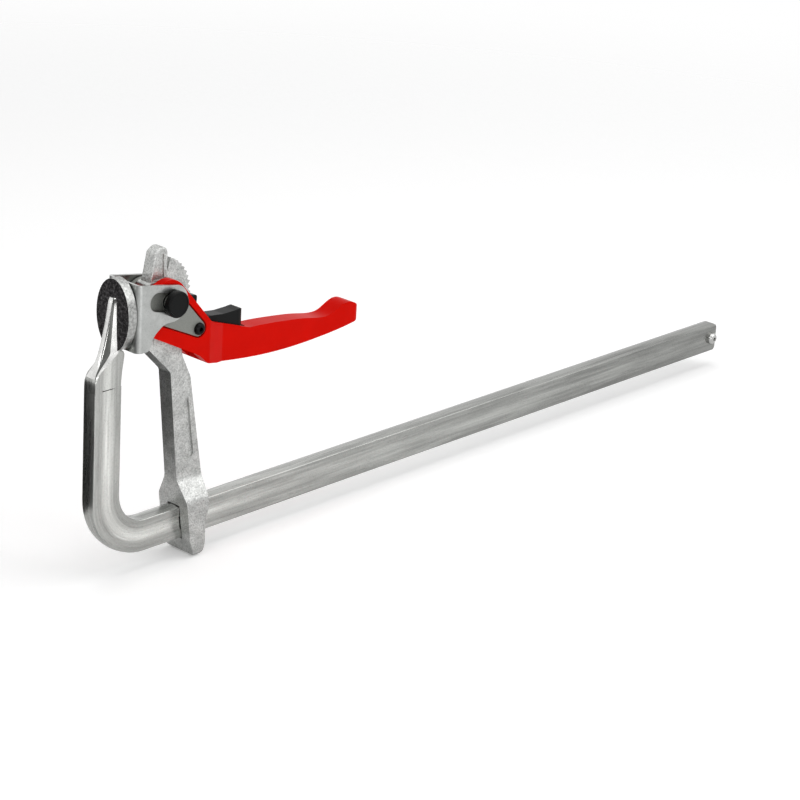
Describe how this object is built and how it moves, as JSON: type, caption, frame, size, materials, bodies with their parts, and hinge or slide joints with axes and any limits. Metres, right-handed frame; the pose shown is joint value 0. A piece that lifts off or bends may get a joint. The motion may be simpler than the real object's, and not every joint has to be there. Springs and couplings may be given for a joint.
{
  "type": "lever bar clamp",
  "caption": "Bar clamp with a bent rail, a fixed jaw and a sliding arm whose lever handle presses a bracket on the work and locks on a toothed sector with a release trigger.",
  "frame": {"origin": "middle of the fixed jaw's clamping face, in the clamp's middle plane", "axes": "+X along the rail, away from the fixed jaw; +Z from the rail up to the jaws; +Y across the clamp"},
  "size_m": [0.5856, 0.0374, 0.1898],
  "materials": {
    "zinc_plated_rail": "zinc plated, drawn lengthways",
    "jaw_steel": "forged, bright rim and dark mottled back",
    "bright_steel": "bright zinc plating",
    "cast_arm": "zinc plated casting, fine grain",
    "spring_steel": "dark spring steel",
    "black_plastic": "satin black",
    "plated_sheet": "zinc plated sheet",
    "red_enamel": "glossy red paint",
    "grey_plate": "grey phosphated steel",
    "black_steel": "black oxide"
  },
  "bodies": {
    "rail_and_fixed_jaw": {"rail": "zinc_plated_rail", "fixed_jaw": "jaw_steel", "end_stop_screw": "bright_steel"},
    "arm": {"sliding_arm": "cast_arm", "pivot_pin": "bright_steel", "pin_rings": "spring_steel", "pin_cap_near": "black_plastic", "pin_cap_far": "black_plastic"},
    "bracket": {"pressure_bracket": "plated_sheet"},
    "lever": {"handle": "red_enamel", "link_plate_near": "grey_plate", "link_plate_far": "grey_plate", "axle_sleeve": "bright_steel", "axle_screw_near": "black_steel", "axle_screw_far": "black_steel", "trigger_spring": "spring_steel"},
    "trigger": {"pawl": "black_steel", "release_trigger": "black_plastic", "trigger_pin": "spring_steel"}
  },
  "joints": [
    {"name": "arm_slide", "type": "slide", "parent": "rail_and_fixed_jaw", "child": "arm", "axis": [1, 0, 0], "range_m": [0, 0.47]},
    {"name": "bracket_slide", "type": "slide", "parent": "arm", "child": "bracket", "axis": [0.9781, 0, -0.2079], "range_m": [0, 0.0103]},
    {"name": "handle_hinge", "type": "hinge", "parent": "arm", "child": "lever", "pos_m": [0.0254, 0, 0.004], "axis": [0, 1, 0], "range_deg": [-65.45, 0]},
    {"name": "trigger_hinge", "type": "hinge", "parent": "lever", "child": "trigger", "pos_m": [0.0486, 0, -0.0169], "axis": [0, 1, 0], "range_deg": [-5, 4], "stiffness_Nm_per_rad": 0.3, "springref_deg": -28.65}
  ],
  "couplings": [
    {"joint": "bracket_slide", "follows": "handle_hinge", "m_per_rad": -0.0089966}
  ]
}
